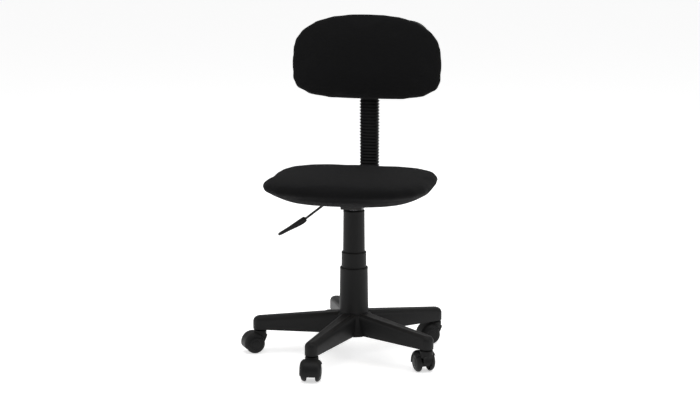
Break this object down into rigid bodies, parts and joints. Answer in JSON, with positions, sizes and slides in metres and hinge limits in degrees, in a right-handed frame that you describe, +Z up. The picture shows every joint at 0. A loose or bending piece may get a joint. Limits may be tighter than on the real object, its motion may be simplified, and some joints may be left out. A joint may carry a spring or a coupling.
{
  "type": "swivel office chair",
  "caption": "Armless task chair: padded seat and backrest on a gas-lift column with a telescopic cover, a moulded star base and twin-wheel castors.",
  "frame": {"origin": "on the floor, on the column's axis", "axes": "+Z up along the column; the sitter faces -Y; +X is to the sitter's left"},
  "size_m": [0.5162, 0.5274, 0.8525],
  "materials": {
    "nylon": "black glass-filled nylon, satin",
    "black_plastic": "black moulded polypropylene, satin",
    "bellows_plastic": "black flexible polyethylene, matt",
    "fabric": "black woven polyester upholstery",
    "black_steel": "black powder coat",
    "bare_steel": "zinc-plated steel",
    "plywood": "bare plywood",
    "rubber": "black rubber"
  },
  "bodies": {
    "base": {"star_base": "nylon", "column_tube": "black_steel", "guide_bush": "black_plastic", "thrust_bearing": "bare_steel", "rubber_buffer": "rubber", "cover_lower": "black_plastic", "castor_stem_1": "bare_steel", "castor_stem_2": "bare_steel", "castor_stem_3": "bare_steel", "castor_stem_4": "bare_steel", "castor_stem_5": "bare_steel"},
    "castor_1": {"castor_body_1": "nylon", "castor_axle_1": "bare_steel"},
    "wheel_left_1": {"castor_wheel_left_1": "nylon"},
    "wheel_right_1": {"castor_wheel_right_1": "nylon"},
    "castor_2": {"castor_body_2": "nylon", "castor_axle_2": "bare_steel"},
    "wheel_left_2": {"castor_wheel_left_2": "nylon"},
    "wheel_right_2": {"castor_wheel_right_2": "nylon"},
    "castor_3": {"castor_body_3": "nylon", "castor_axle_3": "bare_steel"},
    "wheel_left_3": {"castor_wheel_left_3": "nylon"},
    "wheel_right_3": {"castor_wheel_right_3": "nylon"},
    "castor_4": {"castor_body_4": "nylon", "castor_axle_4": "bare_steel"},
    "wheel_left_4": {"castor_wheel_left_4": "nylon"},
    "wheel_right_4": {"castor_wheel_right_4": "nylon"},
    "castor_5": {"castor_body_5": "nylon", "castor_axle_5": "bare_steel"},
    "wheel_left_5": {"castor_wheel_left_5": "nylon"},
    "wheel_right_5": {"castor_wheel_right_5": "nylon"},
    "lift_rod": {"piston_rod": "bare_steel", "rod_clip": "bare_steel"},
    "seat": {"gas_cylinder": "bare_steel", "cover_upper": "black_plastic", "seat_plate": "black_steel", "mechanism_box": "black_steel", "seat_bolt_1": "bare_steel", "seat_bolt_2": "bare_steel", "seat_bolt_3": "bare_steel", "seat_bolt_4": "bare_steel", "seat_board": "plywood", "seat_cushion": "fabric"},
    "middle_cover": {"cover_middle": "black_plastic"},
    "valve": {"valve_pin": "bare_steel"},
    "lever": {"lever_rod": "black_steel", "lever_handle": "black_plastic"},
    "back_bar": {"back_bar": "black_steel", "bellows": "bellows_plastic"},
    "backrest": {"back_bracket": "black_steel", "back_board": "plywood", "back_cushion": "fabric", "back_shell": "black_plastic", "back_bolt_1": "bare_steel", "back_bolt_2": "bare_steel"},
    "depth_knob": {"depth_knob": "black_plastic"},
    "back_knob": {"back_knob": "black_plastic"}
  },
  "joints": [
    {"name": "castor_swivel_1", "type": "hinge", "parent": "base", "child": "castor_1", "pos_m": [-0.24058, -0.02105, 0.0575], "axis": [0, 0, 1], "continuous": true},
    {"name": "wheel_spin_left_1", "type": "hinge", "parent": "castor_1", "child": "wheel_left_1", "pos_m": [-0.255, -0.03006, 0.025], "axis": [0.5299, -0.848, 0], "continuous": true},
    {"name": "wheel_spin_right_1", "type": "hinge", "parent": "castor_1", "child": "wheel_right_1", "pos_m": [-0.255, -0.03006, 0.025], "axis": [0.5299, -0.848, 0], "continuous": true},
    {"name": "castor_swivel_2", "type": "hinge", "parent": "base", "child": "castor_2", "pos_m": [-0.05433, -0.23531, 0.0575], "axis": [0, 0, 1], "continuous": true},
    {"name": "wheel_spin_left_2", "type": "hinge", "parent": "castor_2", "child": "wheel_left_2", "pos_m": [-0.05255, -0.25222, 0.025], "axis": [0.9945, 0.1045, 0], "continuous": true},
    {"name": "wheel_spin_right_2", "type": "hinge", "parent": "castor_2", "child": "wheel_right_2", "pos_m": [-0.05255, -0.25222, 0.025], "axis": [0.9945, 0.1045, 0], "continuous": true},
    {"name": "castor_swivel_3", "type": "hinge", "parent": "base", "child": "castor_3", "pos_m": [0.20701, -0.12438, 0.0575], "axis": [0, 0, 1], "continuous": true},
    {"name": "wheel_spin_left_3", "type": "hinge", "parent": "castor_3", "child": "wheel_left_3", "pos_m": [0.198, -0.10996, 0.025], "axis": [-0.848, -0.5299, 0], "continuous": true},
    {"name": "wheel_spin_right_3", "type": "hinge", "parent": "castor_3", "child": "wheel_right_3", "pos_m": [0.198, -0.10996, 0.025], "axis": [-0.848, -0.5299, 0], "continuous": true},
    {"name": "castor_swivel_4", "type": "hinge", "parent": "base", "child": "castor_4", "pos_m": [0.18226, 0.15844, 0.0575], "axis": [0, 0, 1], "continuous": true},
    {"name": "wheel_spin_left_4", "type": "hinge", "parent": "castor_4", "child": "wheel_left_4", "pos_m": [0.16785, 0.14943, 0.025], "axis": [0.5299, -0.848, 0], "continuous": true},
    {"name": "wheel_spin_right_4", "type": "hinge", "parent": "castor_4", "child": "wheel_right_4", "pos_m": [0.16785, 0.14943, 0.025], "axis": [0.5299, -0.848, 0], "continuous": true},
    {"name": "castor_swivel_5", "type": "hinge", "parent": "base", "child": "castor_5", "pos_m": [-0.09436, 0.2223, 0.0575], "axis": [0, 0, 1], "continuous": true},
    {"name": "wheel_spin_left_5", "type": "hinge", "parent": "castor_5", "child": "wheel_left_5", "pos_m": [-0.11034, 0.21649, 0.025], "axis": [0.342, -0.9397, 0], "continuous": true},
    {"name": "wheel_spin_right_5", "type": "hinge", "parent": "castor_5", "child": "wheel_right_5", "pos_m": [-0.11034, 0.21649, 0.025], "axis": [0.342, -0.9397, 0], "continuous": true},
    {"name": "seat_swivel", "type": "hinge", "parent": "base", "child": "lift_rod", "pos_m": [0, 0, 0.07], "axis": [0, 0, 1], "continuous": true},
    {"name": "height_slide", "type": "slide", "parent": "lift_rod", "child": "seat", "axis": [0, 0, 1], "range_m": [-0.045, 0.04]},
    {"name": "cover_slide", "type": "slide", "parent": "base", "child": "middle_cover", "axis": [0, 0, 1], "range_m": [-0.0225, 0.02]},
    {"name": "lever_pull", "type": "hinge", "parent": "seat", "child": "lever", "pos_m": [-0.027, -0.003, 0.3975], "axis": [0, 1, 0], "range_deg": [0, 8], "stiffness_Nm_per_rad": 6, "springref_deg": -2.86},
    {"name": "valve_press", "type": "slide", "parent": "seat", "child": "valve", "axis": [0, 0, 1], "range_m": [-0.0038, 0]},
    {"name": "back_depth_slide", "type": "slide", "parent": "seat", "child": "back_bar", "axis": [0, 1, 0], "range_m": [-0.005, 0.035]},
    {"name": "back_height_slide", "type": "slide", "parent": "back_bar", "child": "backrest", "axis": [0, 0, 1], "range_m": [-0.03, 0.03], "deforming": ["bellows"]},
    {"name": "depth_knob_turn", "type": "hinge", "parent": "seat", "child": "depth_knob", "pos_m": [0, 0.088, 0.38], "axis": [0, 0, 1], "range_deg": [0, 720]},
    {"name": "back_knob_turn", "type": "hinge", "parent": "backrest", "child": "back_knob", "pos_m": [0, 0.222, 0.721], "axis": [0, -1, 0], "range_deg": [0, 720]}
  ],
  "couplings": [
    {"joint": "cover_slide", "follows": "height_slide", "ratio": 0.5},
    {"joint": "valve_press", "follows": "lever_pull", "m_per_rad": -0.027}
  ]
}
